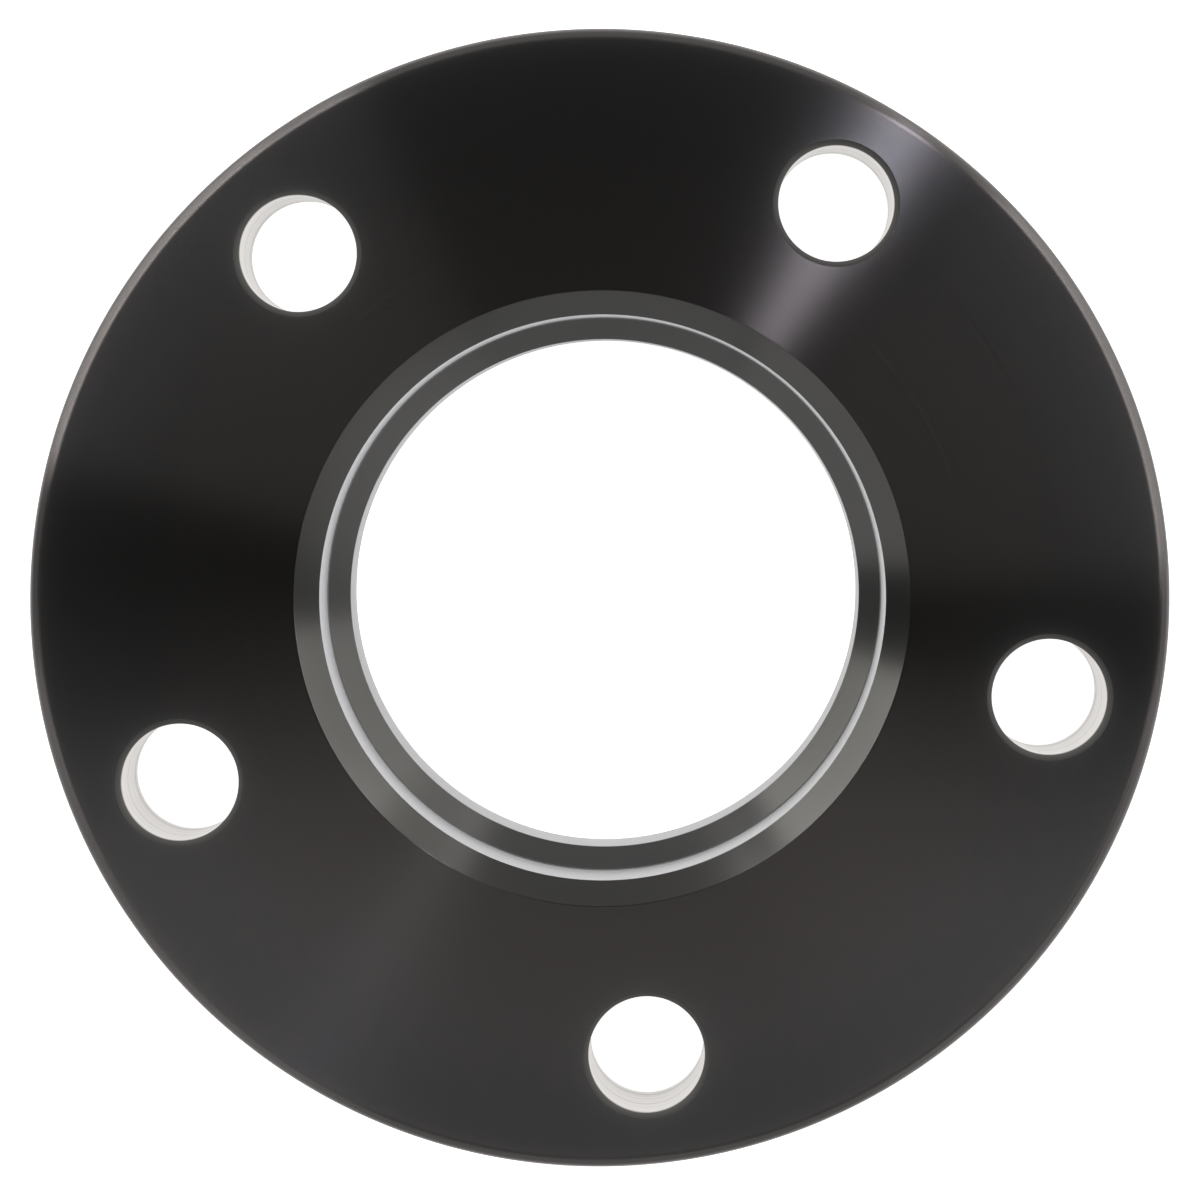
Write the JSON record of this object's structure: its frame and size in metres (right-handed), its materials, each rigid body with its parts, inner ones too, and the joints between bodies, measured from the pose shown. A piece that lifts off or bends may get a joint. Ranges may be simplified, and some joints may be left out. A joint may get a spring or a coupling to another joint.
{
  "type": "wheel spacer",
  "caption": "Hub-centric wheel spacer: a flat turned disc with wheel bolt holes, a coned hub seat on one face and a locating lip on the other.",
  "frame": {"origin": "on the axis, on the plane of the hub face; the bolt circle is stated where the straight hole walls start, 0.7 mm below it", "axes": "+Z along the wheel axis, out of the hub face towards the hub; the first bolt hole is on +X"},
  "size_m": [0.149, 0.149, 0.0185],
  "materials": {
    "black_anodised": "turned and black anodised, with bright seat, bore and bolt hole walls"
  },
  "bodies": {
    "root": {"spacer": "black_anodised"}
  },
  "joints": []
}
